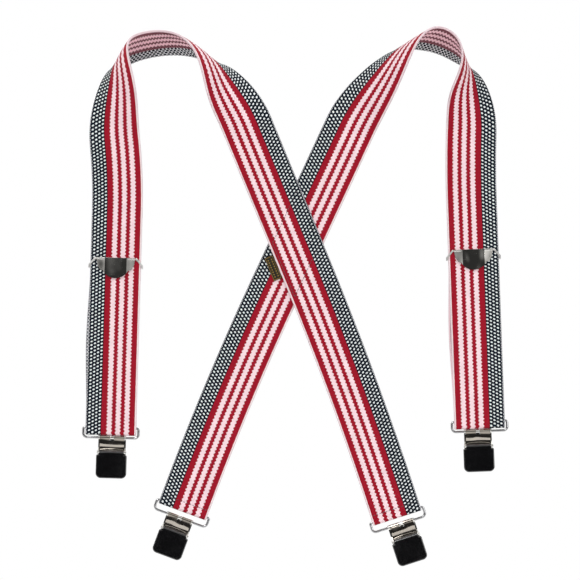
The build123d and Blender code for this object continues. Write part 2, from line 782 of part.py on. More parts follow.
save("left_strap", strap_solid(LEFT_STRAP))
save("right_strap", mirror(strap_solid(RIGHT_STRAP), about=Plane.YZ))
save("crossing_stitching", crossing_stitching())
save("woven_label", woven_label())
save("back_left_end_stitching", back_left * bar_tack())
save("back_right_end_stitching", back_right * bar_tack())
save_adjuster("left", left_front, LEFT_ADJUSTER_HEIGHT)
save_adjuster("right", right_front, RIGHT_ADJUSTER_HEIGHT)
save_clip("front_left", left_front)
save_clip("front_right", right_front)
save_clip("back_left", back_left)
save_clip("back_right", back_right)
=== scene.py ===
import random
from math import cos, pi, radians, sin

import bpy
from mathutils import Matrix, Vector


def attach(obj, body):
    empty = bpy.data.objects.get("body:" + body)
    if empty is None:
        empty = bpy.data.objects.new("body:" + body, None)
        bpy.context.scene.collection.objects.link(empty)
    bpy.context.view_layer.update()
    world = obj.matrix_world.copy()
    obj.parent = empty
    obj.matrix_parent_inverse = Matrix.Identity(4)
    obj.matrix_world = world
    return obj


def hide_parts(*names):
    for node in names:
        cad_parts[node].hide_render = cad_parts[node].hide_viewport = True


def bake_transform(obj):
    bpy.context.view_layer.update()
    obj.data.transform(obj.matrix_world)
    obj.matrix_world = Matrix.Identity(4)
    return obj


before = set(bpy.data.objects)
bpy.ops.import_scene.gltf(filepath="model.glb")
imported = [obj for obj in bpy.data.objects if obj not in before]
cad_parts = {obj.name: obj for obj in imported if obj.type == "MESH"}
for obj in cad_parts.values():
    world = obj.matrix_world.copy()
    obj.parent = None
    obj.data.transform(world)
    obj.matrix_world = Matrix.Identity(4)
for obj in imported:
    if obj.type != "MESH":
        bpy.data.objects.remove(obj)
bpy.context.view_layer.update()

MM = 0.001
UP = Vector((0, 0, 1))
RIGHT = Vector((1, 0, 0))
AWAY = Vector((0, 1, 0))
random.seed(11)

# ---- webbing sizes, in millimetres and degrees, the same as the CAD's ------------------------
WEB_WIDTH = 50.8
WEB_THICK = 2.0
LAYER_GAP = 0.1
FRONT_LAYER = WEB_THICK / 2
REAR_LAYER = FRONT_LAYER + WEB_THICK + LAYER_GAP
FOLD_RADIUS = 2.45
FRONT_FOLD_DROP = 4.15
FRONT_FOLD_UP = 3.0
TAIL_WRAP = 40.0
TAIL_EASE = 2.5
TAIL_LENGTH = 9.0
RETURN_LAYER = WEB_THICK + LAYER_GAP
RETURN_BOW = 2.2
RETURN_TURN = 25.0
RETURN_EASE = 3.0
ADJUSTER_BAR_DOWN = 8.0
LEFT_STRAP = {
    "outer_run": 216.6,
    "outer_lean": 1.7,
    "outer_bend": -7.3,
    "outer_bend_length": 70.0,
    "loop_length": 262.8,
    "tip": 58.7,
    "tip_lean": -11.8,
    "turns": 0.5467,
    "pace_cos": (0.277, 0.327),
    "pace_sin": (-0.161, 0.220),
    "swerve_sin": (-1.3, -15.5),
    "inner_run": 149.1,
    "inner_bend": 4.5,
    "inner_bend_length": 267.7,
    "crossing_after_loop": 127.2,
    "layer": FRONT_LAYER,
    "adjuster_height": 169.6,
    "bow": -RETURN_BOW,
}
RIGHT_STRAP = {
    "outer_run": 220.0,
    "outer_lean": 2.1,
    "outer_bend": -3.8,
    "outer_bend_length": 70.0,
    "loop_length": 239.5,
    "tip": 58.9,
    "tip_lean": -17.4,
    "turns": 0.5645,
    "pace_cos": (0.506, 0.170),
    "pace_sin": (-0.215, -0.201),
    "swerve_sin": (-11.3, -9.1),
    "inner_run": 177.7,
    "inner_bend": 4.6,
    "inner_bend_length": 237.6,
    "crossing_after_loop": 127.0,
    "layer": REAR_LAYER,
    "adjuster_height": 171.7,
    "bow": RETURN_BOW,
}
LOOP_STEPS = 120
LOOP_CUP = 5.0

# ---- sewing and label, in millimetres ---------------------------------------------------------
STITCH_INSET = 2.5
DIAMOND_INSET = 4.0
BAR_TACK_HEIGHT = 6.6
TAIL_ROWS = (7.2, 11.2)
LABEL_WIDTH = 9.0
LABEL_LENGTH = 25.0
LABEL_THICK = 0.6
LABEL_GAP = 0.3
LABEL_ALONG = 14.0

# ---- woven pattern, in millimetres from the dotted edge ---------------------------------------
UV_SCALE = 0.01
SELVEDGE = 0.9
FAR_SELVEDGE = 48.9
DOT_BAND_END = 15.3
DOT_START = 1.7
DOT_ACROSS = 3.4
PATTERN_REPEAT = 3.55
STRIPE_MIDDLE = 32.2
STRIPE_PITCH = 8.7


# ---- webbing paths --------------------------------------------------------------------------
def turned(vector, axis, angle):
    """A direction turned about an axis, in degrees."""
    return Matrix.Rotation(radians(angle), 3, axis) @ vector


class Path:
    """Frames along a length of webbing: point, run, width, distance along, and cup."""

    def __init__(self, point, run, width, along=0.0):
        self.point, self.run, self.width, self.along = point, run, width, along
        self.frames = []
        self.mark()

    def mark(self, cup=0.0):
        self.frames.append((self.point.copy(), self.run.copy(), self.width.copy(), self.along, cup))

    def straight(self, length, step=8.0):
        count = max(1, round(length / step))
        for _ in range(count):
            self.point = self.point + self.run * (length / count)
            self.along += length / count
            self.mark()

    def turn(self, axis, angle, length, count):
        """Bends evenly about a fixed axis direction."""
        for _ in range(count):
            middle = turned(self.run, axis, angle / count / 2)
            self.run = turned(self.run, axis, angle / count)
            self.width = turned(self.width, axis, angle / count)
            self.point = self.point + middle * (length / count)
            self.along += length / count
            self.mark()

    def fold(self, angle, radius, side, count=14):
        """Folds over the webbing's own width; side +1 folds towards the reverse face."""
        self.turn(self.width * -side, angle, radians(angle) * radius, count)

    def sewn_fold(self):
        wrap = radians(TAIL_WRAP)
        sideways = FOLD_RADIUS * (1 + cos(wrap)) - RETURN_LAYER - TAIL_EASE * (1 - cos(wrap))
        self.fold(180 + TAIL_WRAP, FOLD_RADIUS, 1)
        self.straight(sideways / sin(wrap), 1.5)
        self.fold(TAIL_WRAP, TAIL_EASE, -1, 6)
        self.straight(TAIL_LENGTH, 3.0)

    def loop(self, strap):
        """The shoulder loop: the face swings once round a tipped axis."""
        heading = strap["outer_lean"] + strap["outer_bend"]
        tip = radians(strap["tip"])
        lean = radians(strap["tip_lean"])
        axis = AWAY * -cos(tip) + Vector((sin(lean), 0, cos(lean))) * sin(tip)

        def direction(swing):
            angle = radians(swing)
            first, second = strap["swerve_sin"]
            swerve = first * sin(angle) + second * sin(2 * angle)
            own = heading - strap["turns"] * swing - swerve
            return turned(turned(UP, AWAY, own), axis, -swing), turned(
                turned(RIGHT, AWAY, own), axis, -swing
            )

        fine = 4
        step = 360 / (LOOP_STEPS * fine)
        for index in range(LOOP_STEPS * fine):
            swing = (index + 0.5) * step
            angle = radians(swing)
            weight = 1.0
            for order in (1, 2):
                weight += strap["pace_cos"][order - 1] * cos(order * angle)
                weight += strap["pace_sin"][order - 1] * sin(order * angle)
            length = strap["loop_length"] / 360 * weight * step
            self.point = self.point + direction(swing)[0] * length
            self.along += length
            if (index + 1) % fine == 0:
                swing = (index + 1) * step
                self.run, self.width = direction(swing)
                self.mark(LOOP_CUP * sin(radians(swing)) ** 2)


def strap_path(strap):
    """The whole strap in its left-hand form, its crossing not yet moved to the origin."""
    lean = strap["outer_lean"]
    up = turned(UP, AWAY, lean)
    width = turned(RIGHT, AWAY, lean)
    bar = AWAY * FOLD_RADIUS
    path = Path(bar + AWAY * FOLD_RADIUS + up * FRONT_FOLD_UP, -up, width)
    path.straight(FRONT_FOLD_UP + FRONT_FOLD_DROP, 2.5)
    path.fold(180, FOLD_RADIUS, 1)
    path.straight(FRONT_FOLD_DROP, 2.5)
    path.run, path.width = up, width
    path.straight(strap["outer_run"])
    path.turn(AWAY, strap["outer_bend"], strap["outer_bend_length"], 20)
    path.loop(strap)
    heading = strap["outer_lean"] + strap["outer_bend"] - 360 * strap["turns"]
    path.run = turned(UP, AWAY, heading)
    path.width = turned(RIGHT, AWAY, heading)
    inner_start = path.point.copy()
    path.straight(strap["inner_run"])
    path.turn(AWAY, strap["inner_bend"], strap["inner_bend_length"], 40)
    bar_point = path.point.copy()
    path.sewn_fold()
    crossing = inner_start + turned(UP, AWAY, heading) * strap["crossing_after_loop"]
    shift = Vector((0, strap["layer"], 0)) - crossing
    frames = [(p + shift, t, w, s, c) for p, t, w, s, c in path.frames]
    return {
        "frames": frames,
        "front_bar": bar + shift,
        "back_bar": bar_point + shift + AWAY * FOLD_RADIUS,
        "back_heading": heading + strap["inner_bend"] + 180,
    }


def return_path(strap):
    """The return leg in the front bar's local frame."""
    height = strap["adjuster_height"] - ADJUSTER_BAR_DOWN
    path = Path(Vector((0, FOLD_RADIUS, FRONT_FOLD_UP)), UP, RIGHT)
    turn = radians(RETURN_TURN)
    sideways = 2 * FOLD_RADIUS - RETURN_LAYER - 2 * RETURN_EASE * (1 - cos(turn))
    path.fold(RETURN_TURN, RETURN_EASE, -1, 4)
    path.straight(sideways / sin(turn), 2.0)
    path.fold(RETURN_TURN, RETURN_EASE, 1, 4)
    path.run = UP.copy()
    low = path.point.copy()
    count = 24
    for step in range(1, count + 1):
        part = step / count
        path.point = Vector((strap["bow"] * sin(pi * part) ** 2, low.y, low.z + (height - low.z) * part))
        path.along += (height - low.z) / count
        path.mark()
    path.sewn_fold()
    return path.frames


# ---- meshes ---------------------------------------------------------------------------------
def new_mesh(name, points, faces, materials, slots=None, uvs=None):
    """A mesh object from millimetre points."""
    mesh = bpy.data.meshes.new(name)
    mesh.from_pydata([p * MM for p in points], [], faces)
    for material in materials:
        mesh.materials.append(material)
    if slots:
        mesh.polygons.foreach_set("material_index", slots)
    if uvs:
        layer = mesh.uv_layers.new(name="web")
        flat = [c for uv in uvs for c in uv]
        layer.data.foreach_set("uv", flat)
    mesh.polygons.foreach_set("use_smooth", [True] * len(mesh.polygons))
    obj = bpy.data.objects.new(name, mesh)
    bpy.context.scene.collection.objects.link(obj)
    return obj


def ribbon(name, frames, materials, mirrored=False, place=None, swapped=False):
    """Webbing along a path: outer face, reverse face and rounded edges, with weave coordinates.

    materials are the outer face, the reverse face and the edge.
    """
    half = WEB_WIDTH / 2
    edge = 0.9
    columns = 22
    across = [-half + edge + (WEB_WIDTH - 2 * edge) * i / columns for i in range(columns + 1)]
    flat = half - edge
    profile = [(w, 1.0) for w in across]
    profile += [(flat + edge * sin(radians(a)), cos(radians(a))) for a in (30, 60, 90, 120, 150)]
    profile += [(w, -1.0) for w in reversed(across)]
    profile += [(-flat - edge * sin(radians(a)), -cos(radians(a))) for a in (30, 60, 90, 120, 150)]
    ring = len(profile)
    middles = []
    for point, run, width, along, cup in frames:
        normal = width.cross(run)
        middles.append([point + width * w + normal * (cup * (1 - (w / half) ** 2)) for w, _ in profile])
    points = []
    alongs = [f[3] for f in frames]
    for row, (point, run, width, along, cup) in enumerate(frames):
        before = middles[max(row - 1, 0)]
        after = middles[min(row + 1, len(frames) - 1)]
        for column, (w, side) in enumerate(profile):
            way = after[column] - before[column]
            slope = width - width.cross(run) * (2 * cup * w / half**2)
            normal = slope.cross(way).normalized()
            points.append(middles[row][column] + normal * (side * WEB_THICK / 2))
    faces, slots, uvs = [], [], []
    for row in range(len(frames) - 1):
        for column in range(ring):
            following = (column + 1) % ring
            corners = [(row, column), (row + 1, column), (row + 1, following), (row, following)]
            if not mirrored:
                corners.reverse()
            faces.append([r * ring + c for r, c in corners])
            middle_side = (profile[column][1] + profile[following][1]) / 2
            slot = 2 if abs(middle_side) < 0.93 else (0 if middle_side > 0 else 1)
            if swapped and slot < 2:
                slot = 1 - slot
            slots.append(slot)
            for r, c in corners:
                uvs.append(((profile[c][0] + half) * UV_SCALE, alongs[r] * UV_SCALE))
    for row, order in ((0, 1), (len(frames) - 1, -1)):
        cap = [row * ring + c for c in range(ring)][:: order if not mirrored else -order]
        faces.append(cap)
        slots.append(2)
        for v in cap:
            uvs.append(((profile[v - row * ring][0] + half) * UV_SCALE, alongs[row] * UV_SCALE))
    if place is not None:
        points = [place @ p for p in points]
    if mirrored:
        points = [Vector((-p.x, p.y, p.z)) for p in points]
    return new_mesh(name, points, faces, materials, slots, uvs)


def thread(name, stitches, material, radius=0.26):
    """Sewn stitches: each (start, end, outwards) is a short thread that dips in at both ends."""
    points, faces = [], []
    sides = 8
    steps = 8
    for start, end, out in stitches:
        way = (end - start).normalized()
        across = way.cross(out)
        base = len(points)
        for step in range(steps + 1):
            part = step / steps
            lift = sin(pi * part) ** 0.5 * 0.22 - 0.1
            size = radius * (0.75 + 0.25 * sin(pi * part))
            middle = start.lerp(end, part) + out * lift
            for side in range(sides):
                angle = 2 * pi * side / sides
                points.append(middle + across * (cos(angle) * size) + out * (sin(angle) * size))
        for step in range(steps):
            for side in range(sides):
                following = (side + 1) % sides
                faces.append(
                    (
                        base + step * sides + side,
                        base + step * sides + following,
                        base + (step + 1) * sides + following,
                        base + (step + 1) * sides + side,
                    )
                )
        faces.append([base + s for s in reversed(range(sides))])
        faces.append([base + steps * sides + s for s in range(sides)])
    return new_mesh(name, points, faces, [material])


def stitch_row(start, end, out, length=2.4, pitch=3.2):
    """Stitches along a line, each a little out of true."""
    way = end - start
    count = max(2, round(way.length / pitch))
    unit = way.normalized()
    side = unit.cross(out)
    row = []
    for index in range(count):
        middle = start + way * ((index + 0.5) / count)
        skew = side * random.uniform(-0.12, 0.12)
        row.append((middle - unit * length / 2 + skew, middle + unit * length / 2 - skew, out))
    return row


# ---- materials ------------------------------------------------------------------------------
class Finish:
    """A procedural material and short ways to add nodes to it."""

    def __init__(self, name):
        self.material = bpy.data.materials.new(name)
        self.material.use_nodes = True
        self.tree = self.material.node_tree
        self.tree.nodes.clear()
        self.shader = self.tree.nodes.new("ShaderNodeBsdfPrincipled")
        output = self.tree.nodes.new("ShaderNodeOutputMaterial")
        self.tree.links.new(self.shader.outputs[0], output.inputs["Surface"])

    def put(self, socket, value):
        if isinstance(value, bpy.types.NodeSocket):
            self.tree.links.new(value, socket)
        elif value is not None:
            if isinstance(value, (tuple, list)) and len(value) == 3 and socket.type == "RGBA":
                value = (*value, 1.0)
            socket.default_value = value

    def set(self, **values):
        for name, value in values.items():
            self.put(self.shader.inputs[name.replace("_", " ")], value)

    def math(self, operation, a, b=None, c=None):
        node = self.tree.nodes.new("ShaderNodeMath")
        node.operation = operation
        for socket, value in zip(node.inputs, (a, b, c)):
            self.put(socket, value)
        return node.outputs[0]

    def mix(self, part, a, b):
        node = self.tree.nodes.new("ShaderNodeMix")
        node.data_type = "RGBA"
        self.put(node.inputs[0], part)
        self.put(node.inputs[6], a)
        self.put(node.inputs[7], b)
        return node.outputs[2]

    def noise(self, scale, detail=3.0, vector=None, roughness=0.55):
        node = self.tree.nodes.new("ShaderNodeTexNoise")
        node.inputs["Scale"].default_value = scale
        node.inputs["Detail"].default_value = detail
        node.inputs["Roughness"].default_value = roughness
        self.put(node.inputs["Vector"], vector if vector is not None else self.place())
        return node.outputs["Fac"]

    def place(self):
        """Position on the object, which moves with it."""
        node = self.tree.nodes.new("ShaderNodeTexCoord")
        return node.outputs["Object"]

    def stretched(self, x, y, z):
        """Position on the object, scaled along each axis."""
        node = self.tree.nodes.new("ShaderNodeMapping")
        self.put(node.inputs["Vector"], self.place())
        node.inputs["Scale"].default_value = (x, y, z)
        return node.outputs[0]

    def range(self, value, low, high, to_low, to_high):
        node = self.tree.nodes.new("ShaderNodeMapRange")
        for socket, number in zip(node.inputs, (value, low, high, to_low, to_high)):
            self.put(socket, number)
        return node.outputs[0]

    def vector(self, x, y, z=0.0):
        node = self.tree.nodes.new("ShaderNodeCombineXYZ")
        for socket, value in zip(node.inputs, (x, y, z)):
            self.put(socket, value)
        return node.outputs[0]

    def bump(self, height, distance, strength=1.0, normal=None):
        node = self.tree.nodes.new("ShaderNodeBump")
        node.inputs["Strength"].default_value = strength
        node.inputs["Distance"].default_value = distance * MM
        self.put(node.inputs["Height"], height)
        if normal is not None:
            self.put(node.inputs["Normal"], normal)
        return node.outputs[0]

    def web(self):
        """Millimetres across from the dotted edge, and along."""
        node = self.tree.nodes.new("ShaderNodeUVMap")
        node.uv_map = "web"
        parts = self.tree.nodes.new("ShaderNodeSeparateXYZ")
        self.tree.links.new(node.outputs[0], parts.inputs[0])
        across = self.math("MULTIPLY", parts.outputs[0], 1 / UV_SCALE)
        along = self.math("MULTIPLY", parts.outputs[1], 1 / UV_SCALE)
        return across, along

    def between(self, value, low, high):
        above = self.math("GREATER_THAN", value, low)
        return self.math("MULTIPLY", above, self.math("LESS_THAN", value, high))

    def dots(self, x, y, pitch_x, pitch_y, half_x, half_y, slant):
        """Staggered slanting ellipses, 1 inside."""
        column = self.math("FLOOR", self.math("DIVIDE", x, pitch_x))
        part_x = self.math("FRACT", self.math("DIVIDE", x, pitch_x))
        u = self.math("MULTIPLY", self.math("SUBTRACT", part_x, 0.5), pitch_x)
        offset = self.math("MULTIPLY", self.math("MODULO", column, 2.0), 0.5)
        row = self.math("ADD", self.math("DIVIDE", y, pitch_y), offset)
        v = self.math("MULTIPLY", self.math("SUBTRACT", self.math("FRACT", row), 0.5), pitch_y)
        c, s = cos(radians(slant)), sin(radians(slant))
        long_way = self.math("ADD", self.math("MULTIPLY", u, c), self.math("MULTIPLY", v, s))
        short_way = self.math("SUBTRACT", self.math("MULTIPLY", v, c), self.math("MULTIPLY", u, s))
        a = self.math("POWER", self.math("ABSOLUTE", self.math("DIVIDE", long_way, half_x)), 2.0)
        b = self.math("POWER", self.math("ABSOLUTE", self.math("DIVIDE", short_way, half_y)), 2.0)
        return self.math("LESS_THAN", self.math("ADD", a, b), 1.0)


CRIMSON = (0.325, 0.004, 0.017)
PINK_WHITE = (0.93, 0.70, 0.74)
NAVY = (0.002, 0.006, 0.014)
DOT_WHITE = (0.80, 0.84, 0.84)


def weave_height(m, x, y):
    """Height of crossing threads, for the bump and for painted shade where the threads dip."""
    end = m.math("MULTIPLY", x, pi / 0.62)
    pick_shift = m.math("MULTIPLY", m.math("MODULO", m.math("FLOOR", m.math("DIVIDE", x, 0.62)), 2.0), pi / 2)
    pick = m.math("ADD", m.math("MULTIPLY", y, pi / 0.9), pick_shift)
    ends = m.math("ABSOLUTE", m.math("SINE", end))
    return m.math("MULTIPLY", ends, m.math("ABSOLUTE", m.math("SINE", pick)))


def webbing_finish(name, reverse):
    """Striped and dotted jacquard elastic; the reverse shows the floats of the other colours."""
    m = Finish(name)
    x, y = m.web()
    wobble = m.math("MULTIPLY", m.math("SUBTRACT", m.noise(0.35, 2, m.vector(x, y)), 0.5), 0.25)
    xs = m.math("SNAP", m.math("ADD", x, wobble), 0.31)
    ys = m.math("SNAP", y, 0.3)
    tooth = m.math("ABSOLUTE", m.math("SUBTRACT", m.math("FRACT", m.math("DIVIDE", ys, PATTERN_REPEAT)), 0.5))
    depth = 5.6 if reverse else 2.8
    edge_x = m.math("ADD", xs, m.math("MULTIPLY", m.math("SUBTRACT", tooth, 0.25), depth))
    folded = m.math("SUBTRACT", edge_x, STRIPE_MIDDLE)
    pitch = m.math("ABSOLUTE", m.math("SUBTRACT", m.math("ABSOLUTE", folded), STRIPE_PITCH))
    nearest = m.math("MINIMUM", m.math("ABSOLUTE", folded), pitch)
    stripe = m.math("LESS_THAN", nearest, 2.4 if reverse else 2.35)
    band = m.math("LESS_THAN", xs, DOT_BAND_END)
    dotted_x = m.math("SUBTRACT", xs, DOT_START)
    fibre = m.noise(2.4, 4, m.vector(m.math("MULTIPLY", x, 2.2), m.math("MULTIPLY", y, 0.6)))
    broad = m.noise(0.09, 2, m.vector(x, y))
    if reverse:
        ground = m.mix(m.dots(xs, ys, 1.7, 1.78, 0.50, 0.50, 45), (0.10, 0.012, 0.020), (0.50, 0.22, 0.27))
        colour = m.mix(stripe, ground, (0.98, 0.62, 0.68))
        holes = m.dots(dotted_x, ys, DOT_ACROSS, PATTERN_REPEAT, 1.75, 1.42, 0)
        colour = m.mix(band, colour, m.mix(holes, (0.92, 0.94, 0.96), NAVY))
        selvedge = (0.92, 0.68, 0.72)
    else:
        colour = m.mix(stripe, CRIMSON, PINK_WHITE)
        spots = m.dots(dotted_x, ys, DOT_ACROSS, PATTERN_REPEAT, 1.16, 0.80, 28)
        colour = m.mix(band, colour, m.mix(spots, NAVY, DOT_WHITE))
        selvedge = (0.86, 0.70, 0.72)
    near = m.math("LESS_THAN", xs, SELVEDGE)
    far = m.math("GREATER_THAN", xs, FAR_SELVEDGE)
    beads = m.math("GREATER_THAN", m.math("FRACT", m.math("DIVIDE", ys, 1.78)), 0.4)
    colour = m.mix(near, colour, m.mix(beads, NAVY, (0.62, 0.63, 0.65)))
    colour = m.mix(far, colour, selvedge)
    tone_and_gap_shade = m.math("MULTIPLY", m.range(fibre, 0.3, 0.7, 0.82, 1.08), m.range(broad, 0.3, 0.7, 0.95, 1.04))
    height = weave_height(m, x, y)
    # painted shade: colour darkened by up to a fifth where the threads dip between crossings; the fibre and
    # broad noise before it are random tone
    tone_and_gap_shade = m.math("MULTIPLY", tone_and_gap_shade, m.range(height, 0.0, 0.5, 0.80, 1.0))
    shade = m.tree.nodes.new("ShaderNodeMix")
    shade.data_type = "RGBA"
    shade.blend_type = "MULTIPLY"
    shade.inputs[0].default_value = 1.0
    m.put(shade.inputs[6], colour)
    m.put(shade.inputs[7], tone_and_gap_shade)
    ribs = m.math("ABSOLUTE", m.math("SINE", m.math("MULTIPLY", y, pi / 1.78)))
    relief = m.bump(m.math("ADD", height, m.math("MULTIPLY", ribs, 0.35)), 0.16, 0.7)
    relief = m.bump(fibre, 0.08, 0.5, relief)
    m.set(Base_Color=shade.outputs[2], Roughness=m.range(fibre, 0.3, 0.7, 0.72, 0.95), Normal=relief)
    m.set(Sheen_Weight=0.08, Sheen_Roughness=0.4, Specular_IOR_Level=0.15)
    return m.material


def edge_finish():
    """Cut and selvedge edges of the webbing: packed thread ends."""
    m = Finish("webbing_edge")
    x, y = m.web()
    plain = m.math("GREATER_THAN", x, 25.0)
    colour = m.mix(plain, (0.12, 0.13, 0.16), (0.72, 0.56, 0.60))
    bead = m.math("ABSOLUTE", m.math("SINE", m.math("MULTIPLY", y, pi / 0.9)))
    fuzz = m.noise(1.6, 4, m.vector(x, y))
    colour = m.mix(m.range(fuzz, 0.35, 0.65, 0.0, 0.45), colour, (0.42, 0.36, 0.36))
    m.set(Base_Color=colour, Roughness=0.9, Normal=m.bump(m.math("ADD", bead, fuzz), 0.18, 0.8))
    m.set(Sheen_Weight=0.3, Specular_IOR_Level=0.2)
    return m.material


def nickel_finish(name, tint, rough, haze=0.1):
    """Bright plated metal with faint handling marks and plating texture."""
    m = Finish(name)
    smear = m.noise(90, 4)
    wave = m.noise(45, 1)
    grain = m.noise(900, 2)
    scratch = m.noise(30, 2, m.stretched(1, 1, 26))
    smeared = m.range(smear, 0.35, 0.75, rough, rough + haze)
    rough_map = m.math("ADD", smeared, m.range(scratch, 0.62, 0.75, 0.0, 0.12))
    dull = tuple(c * 0.72 for c in tint)
    colour = m.mix(m.range(smear, 0.4, 0.8, 0.0, 0.5), tint, dull)
    m.set(Base_Color=colour, Metallic=1.0, Roughness=rough_map)
    relief = m.bump(wave, 2.4, 1.0)
    relief = m.bump(grain, 0.008, 0.5, relief)
    m.set(Normal=m.bump(scratch, 0.01, 0.35, relief))
    return m.material


def enamel_finish():
    """Gloss black enamel with orange peel, dust and a few rubbed places."""
    m = Finish("black_enamel")
    peel = m.noise(420, 2)
    dust = m.noise(2600, 2)
    rub = m.noise(55, 5)
    colour = m.mix(m.range(dust, 0.72, 0.76, 0.0, 0.1), (0.002, 0.002, 0.0025), (0.05, 0.05, 0.055))
    colour = m.mix(m.range(rub, 0.62, 0.80, 0.0, 0.25), colour, (0.010, 0.010, 0.011))
    m.set(Base_Color=colour, Roughness=m.range(rub, 0.35, 0.75, 0.10, 0.26))
    m.set(Coat_Weight=0.8, Coat_Roughness=m.range(rub, 0.3, 0.7, 0.04, 0.14))
    m.set(Normal=m.bump(peel, 0.03, 0.35))
    return m.material


def pad_finish():
    m = Finish("grip_pad")
    grain = m.noise(700, 4)
    colour = m.mix(m.range(grain, 0.35, 0.7, 0.0, 1.0), (0.030, 0.030, 0.033), (0.055, 0.055, 0.058))
    m.set(Base_Color=colour, Roughness=m.range(grain, 0.3, 0.7, 0.55, 0.8), Normal=m.bump(grain, 0.04, 0.6))
    return m.material


def thread_finish():
    m = Finish("dark_thread")
    twist = m.noise(2400, 3)
    colour = m.mix(twist, (0.012, 0.008, 0.012), (0.060, 0.040, 0.050))
    m.set(Base_Color=colour, Roughness=0.85, Sheen_Weight=0.4, Normal=m.bump(twist, 0.05, 0.8))
    return m.material


def label_finish():
    """Olive-black woven label: gold border and two columns of small gold diamonds."""
    m = Finish("woven_label")
    x, y = m.web()
    xs = m.math("SNAP", x, 0.2)
    ys = m.math("SNAP", y, 0.2)
    inside_x = m.math("ABSOLUTE", m.math("SUBTRACT", xs, LABEL_WIDTH / 2))
    inside_y = m.math("ABSOLUTE", m.math("SUBTRACT", ys, LABEL_LENGTH / 2))
    side_line = m.between(inside_x, 3.6, 4.1)
    side_line = m.math("MULTIPLY", side_line, m.math("LESS_THAN", inside_y, 11.8))
    end_line = m.math("MULTIPLY", m.between(inside_y, 11.3, 11.8), m.math("LESS_THAN", inside_x, 4.1))
    column = m.math("ABSOLUTE", m.math("SUBTRACT", inside_x, 1.7))
    row = m.math("ABSOLUTE", m.math("SUBTRACT", m.math("MODULO", ys, 2.5), 1.25))
    diamond = m.math("LESS_THAN", m.math("ADD", column, row), 0.85)
    diamond = m.math("MULTIPLY", diamond, m.math("LESS_THAN", inside_y, 10.4))
    gold = m.math("MAXIMUM", m.math("MAXIMUM", side_line, end_line), diamond)
    fibre = m.noise(3.0, 3, m.vector(x, y))
    colour = m.mix(gold, (0.010, 0.010, 0.005), (0.30, 0.17, 0.03))
    colour = m.mix(m.range(fibre, 0.35, 0.65, 0.0, 0.35), colour, (0.020, 0.019, 0.011))
    weave = m.math("ABSOLUTE", m.math("SINE", m.math("MULTIPLY", y, pi / 0.4)))
    height = m.math("ADD", weave, m.math("MULTIPLY", gold, 0.8))
    m.set(Base_Color=colour, Roughness=0.75, Sheen_Weight=0.05, Specular_IOR_Level=0.2)
    m.set(Normal=m.bump(height, 0.06, 0.8))
    return m.material


def floor_finish():
    m = Finish("pale_floor")
    grain = m.noise(6, 5)
    colour = m.mix(m.range(grain, 0.3, 0.7, 0, 1), (0.86, 0.86, 0.86), (0.90, 0.90, 0.89))
    m.set(Base_Color=colour, Roughness=0.85)
    m.set(Normal=m.bump(m.noise(220, 3), 0.1, 0.3))
    return m.material


outer_face = webbing_finish("webbing_outer_face", False)
reverse_face = webbing_finish("webbing_reverse_face", True)
web_edge = edge_finish()
nickel = nickel_finish("bright_nickel", (0.80, 0.79, 0.76), 0.05)
satin_nickel = nickel_finish("satin_nickel", (0.88, 0.87, 0.85), 0.36)
warm_nickel = nickel_finish("warm_nickel", (0.46, 0.42, 0.37), 0.07)
wire_nickel = nickel_finish("wire_nickel", (0.40, 0.40, 0.41), 0.07)
spring_steel = nickel_finish("spring_steel", (0.50, 0.50, 0.51), 0.3, 0.2)
enamel = enamel_finish()
pad = pad_finish()
dark_thread = thread_finish()
label_cloth = label_finish()

# ---- straps, return legs, stitches and label ------------------------------------------------
webs = [outer_face, reverse_face, web_edge]
for side, strap in (("left", LEFT_STRAP), ("right", RIGHT_STRAP)):
    mirrored = side == "right"
    laid = strap_path(strap)
    body = ribbon(f"{side}_strap_webbing", laid["frames"], webs, mirrored)
    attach(body, "webbing")
    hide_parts(f"{side}_strap")
    place = Matrix.Translation(laid["front_bar"]) @ Matrix.Rotation(radians(strap["outer_lean"]), 4, AWAY)
    leg_frames = return_path(strap)
    leg = ribbon(f"{side}_return_leg_webbing", leg_frames, webs, mirrored, place, True)
    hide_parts(f"{side}_return_leg")
    flip = Matrix.Diagonal((-1, 1, 1, 1)) if mirrored else Matrix.Identity(4)
    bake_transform(leg)
    # two rows through the tail that is sewn round the adjuster's bar
    half = WEB_WIDTH / 2 - STITCH_INSET
    back = -FOLD_RADIUS + RETURN_LAYER + WEB_THICK / 2 + RETURN_LAYER
    rows = []
    for down in TAIL_ROWS:
        z = strap["adjuster_height"] - ADJUSTER_BAR_DOWN - down
        rows += stitch_row(Vector((-half, back, z)), Vector((half, back, z)), AWAY)
    whole = flip @ place
    rows = [(whole @ a, whole @ b, AWAY) for a, b, out in rows]
    tack = thread(f"{side}_adjuster_stitches", rows, dark_thread)
    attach(tack, f"{side}_adjuster")
    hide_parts(f"{side}_adjuster_stitching")
    # a row through the fold above the back ring
    corner = "back_right" if side == "left" else "back_left"
    place = Matrix.Translation(laid["back_bar"]) @ Matrix.Rotation(radians(laid["back_heading"]), 4, AWAY)
    whole = flip @ place
    front = -FOLD_RADIUS - WEB_THICK / 2
    back = -FOLD_RADIUS + RETURN_LAYER + WEB_THICK / 2
    height = BAR_TACK_HEIGHT
    rows = stitch_row(Vector((-half, front, height)), Vector((half, front, height)), -AWAY)
    rows += stitch_row(Vector((-half, back, height)), Vector((half, back, height)), AWAY)
    rows = [(whole @ a, whole @ b, out) for a, b, out in rows]
    tack = thread(f"{corner}_end_stitches", rows, dark_thread)
    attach(tack, "webbing")
    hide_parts(f"{corner}_end_stitching")


def inner_direction(strap, sign):
    heading = radians(strap["outer_lean"] + strap["outer_bend"] - 360 * strap["turns"])
    return Vector((sign * sin(heading), 0, cos(heading)))


